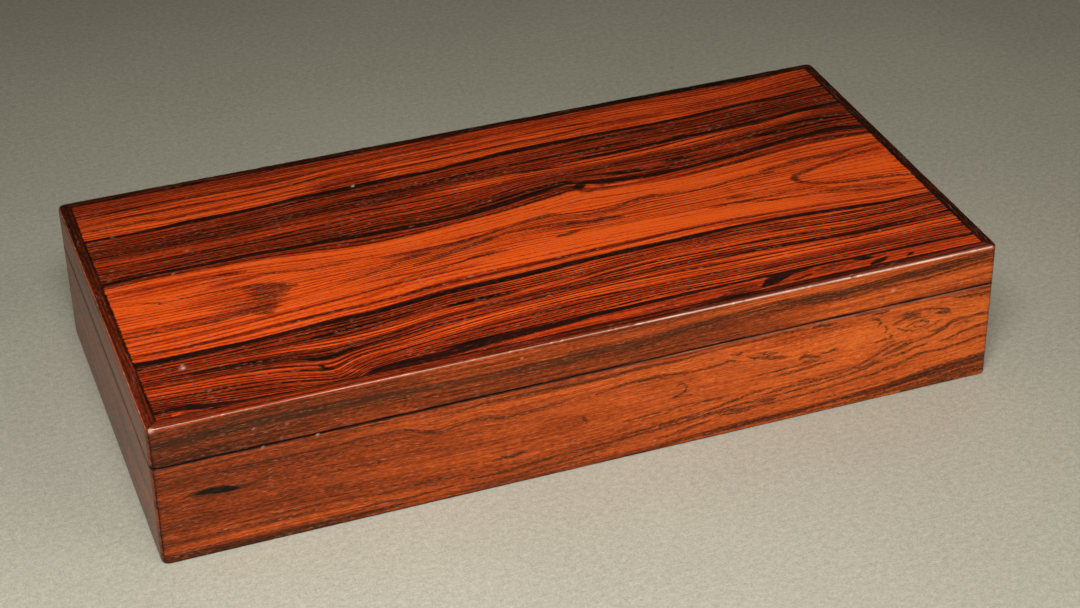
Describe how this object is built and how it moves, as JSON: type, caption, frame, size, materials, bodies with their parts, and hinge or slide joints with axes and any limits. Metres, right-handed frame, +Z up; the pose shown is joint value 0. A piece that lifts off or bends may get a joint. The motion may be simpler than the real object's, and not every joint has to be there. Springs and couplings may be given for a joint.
{
  "type": "antique glove box",
  "caption": "Long shallow rosewood box with a figured panel let into its hinged lid, a velvet-lined tray and a buttoned satin pad inside the lid.",
  "frame": {"origin": "centre of the underside, on the surface that the box stands on", "axes": "+X along the length, to the right seen from the front; -Y towards the front, away from the hinges; +Z up"},
  "size_m": [0.305, 0.1562, 0.0545],
  "materials": {
    "rosewood": "French-polished rosewood, dark wavy stripes on orange brown",
    "rosewood_panel": "French-polished figured rosewood, bright orange brown between black lines",
    "slip_wood": "polished straight-grained rosewood",
    "softwood": "planed pine, unpolished",
    "velvet": "short-pile silk velvet",
    "satin": "silk satin, buttoned",
    "cord": "twisted silk cord",
    "baize": "felted wool baize",
    "card": "greyboard",
    "brass": "drawn brass, lightly aged"
  },
  "bodies": {
    "base": {"base_front_wall": "rosewood", "base_back_wall": "rosewood", "base_left_wall": "rosewood", "base_right_wall": "rosewood", "base_bottom_board": "softwood", "base_baize": "baize", "liner_slip_front": "slip_wood", "liner_slip_back": "slip_wood", "liner_slip_left": "slip_wood", "liner_slip_right": "slip_wood", "lining_card_front": "velvet", "lining_card_back": "velvet", "lining_card_left": "velvet", "lining_card_right": "velvet", "floor_pad_board": "card", "floor_pad": "velvet", "left_hinge_base_leaf": "brass", "right_hinge_base_leaf": "brass", "left_hinge_pin": "brass", "right_hinge_pin": "brass", "base_hinge_screws": "brass"},
    "lid": {"lid_front_rail": "rosewood", "lid_back_rail": "rosewood", "lid_left_rail": "rosewood", "lid_right_rail": "rosewood", "lid_top_panel": "rosewood_panel", "lid_pad_board": "card", "lid_pad": "satin", "lid_pad_buttons": "satin", "lid_pad_cord": "cord", "left_hinge_lid_leaf": "brass", "right_hinge_lid_leaf": "brass", "lid_hinge_screws": "brass"}
  },
  "joints": [
    {"name": "lid_hinge", "type": "hinge", "parent": "base", "child": "lid", "pos_m": [0, 0.0774, 0.0388], "axis": [-1, 0, 0], "range_deg": [0, 100]}
  ]
}
